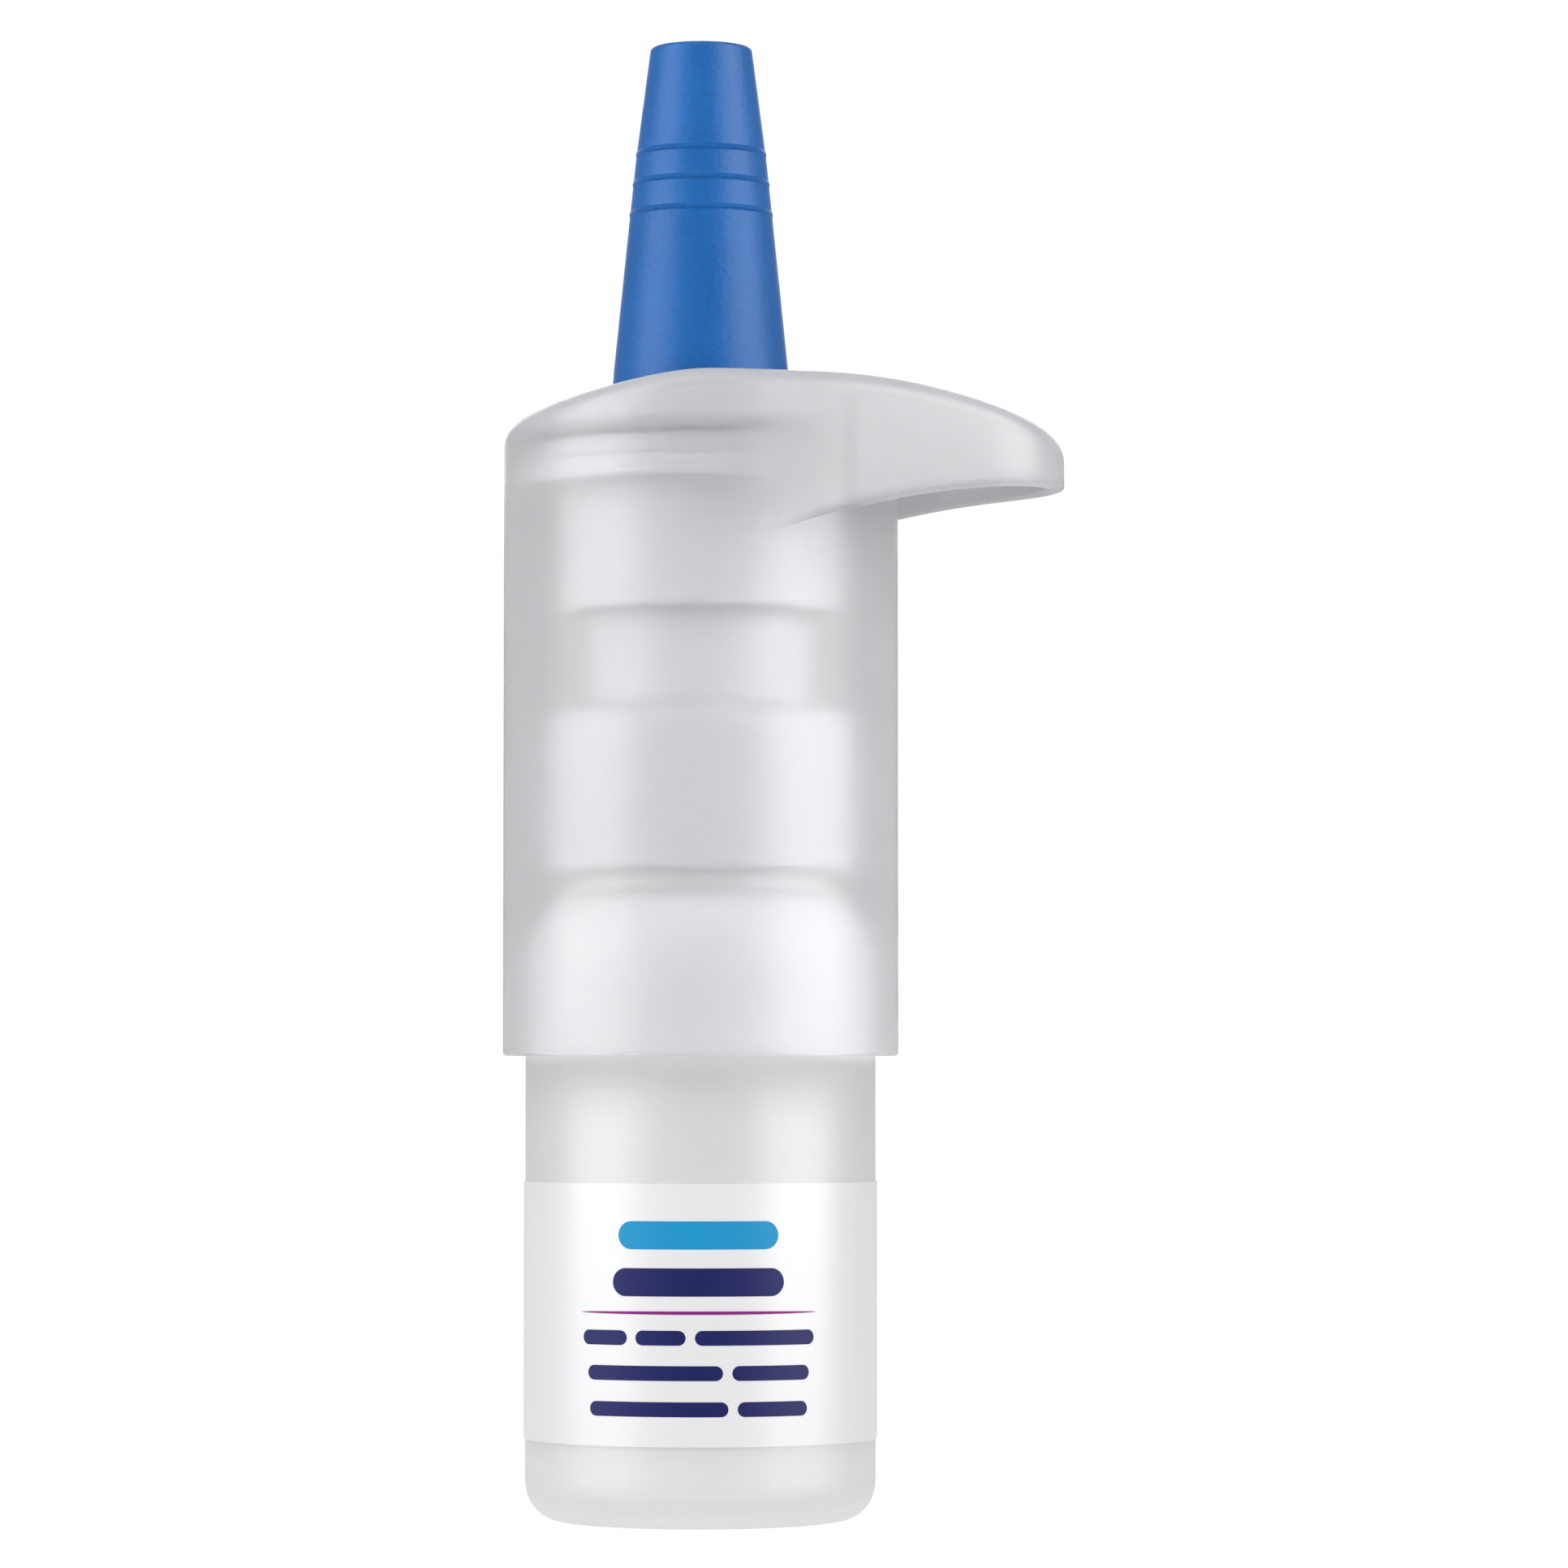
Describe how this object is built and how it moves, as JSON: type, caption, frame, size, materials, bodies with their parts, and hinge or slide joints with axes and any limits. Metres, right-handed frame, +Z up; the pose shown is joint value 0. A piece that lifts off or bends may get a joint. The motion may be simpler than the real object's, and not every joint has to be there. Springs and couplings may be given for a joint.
{
  "type": "eye drop bottle",
  "caption": "Pump eye drop bottle: white bottle, frosted sleeve with a hooded finger rest, sprung piston pump with inlet and outlet valves, and a tapered pull-off cap.",
  "frame": {"origin": "centre of the bottle's base, on the axis of the bottle", "axes": "+Z up the bottle's axis towards the cap, +X towards the finger rest's tip, +Y to the back of the pictured view"},
  "size_m": [0.037, 0.026, 0.0971],
  "materials": {
    "white_plastic": "satin white, slightly see-through in thin walls",
    "label_film": "smooth white film with plain printed bars, no lettering",
    "frosted_plastic": "frosted, translucent",
    "blue_plastic": "satin with a fine grain",
    "natural_plastic": "natural, unpigmented",
    "grey_rubber": "soft, matt",
    "spring_steel": "bright drawn wire",
    "filter_felt": "pressed fibre"
  },
  "bodies": {
    "bottle_body": {"bottle": "white_plastic", "label": "label_film", "neck_gasket": "grey_rubber", "pump_housing": "white_plastic", "vent_filter": "filter_felt", "inlet_seat": "natural_plastic", "ball_cage": "natural_plastic", "rod_guide": "natural_plastic", "closure_collar": "white_plastic"},
    "inlet_valve": {"inlet_ball": "spring_steel"},
    "spring_body": {"return_spring": "spring_steel"},
    "head": {"sleeve": "frosted_plastic", "nozzle_carrier": "white_plastic", "piston_rod": "natural_plastic", "piston_seal": "grey_rubber", "nozzle_seal": "grey_rubber", "nozzle_tip": "natural_plastic", "outlet_spring": "spring_steel"},
    "outlet_valve": {"outlet_pin": "natural_plastic"},
    "cap_body": {"cap": "blue_plastic", "cap_insert": "grey_rubber"}
  },
  "joints": [
    {"name": "head_swivel", "type": "hinge", "parent": "bottle_body", "child": "spring_body", "pos_m": [0, 0, 0.0524], "axis": [0, 0, 1], "continuous": true},
    {"name": "pump_stroke", "type": "slide", "parent": "spring_body", "child": "head", "axis": [0, 0, -1], "range_m": [0, 0.004], "stiffness_N_per_m": 800, "springref_m": -0.004, "deforming": ["return_spring"]},
    {"name": "cap_pull", "type": "slide", "parent": "head", "child": "cap_body", "axis": [0, 0, 1], "range_m": [0, 0.025]},
    {"name": "outlet_valve_lift", "type": "slide", "parent": "head", "child": "outlet_valve", "axis": [0, 0, -1], "range_m": [0, 0.0004], "stiffness_N_per_m": 300, "springref_m": -0.002, "deforming": ["outlet_spring"]},
    {"name": "inlet_ball_lift", "type": "slide", "parent": "bottle_body", "child": "inlet_valve", "axis": [0, 0, 1], "range_m": [0, 0.0005]}
  ]
}
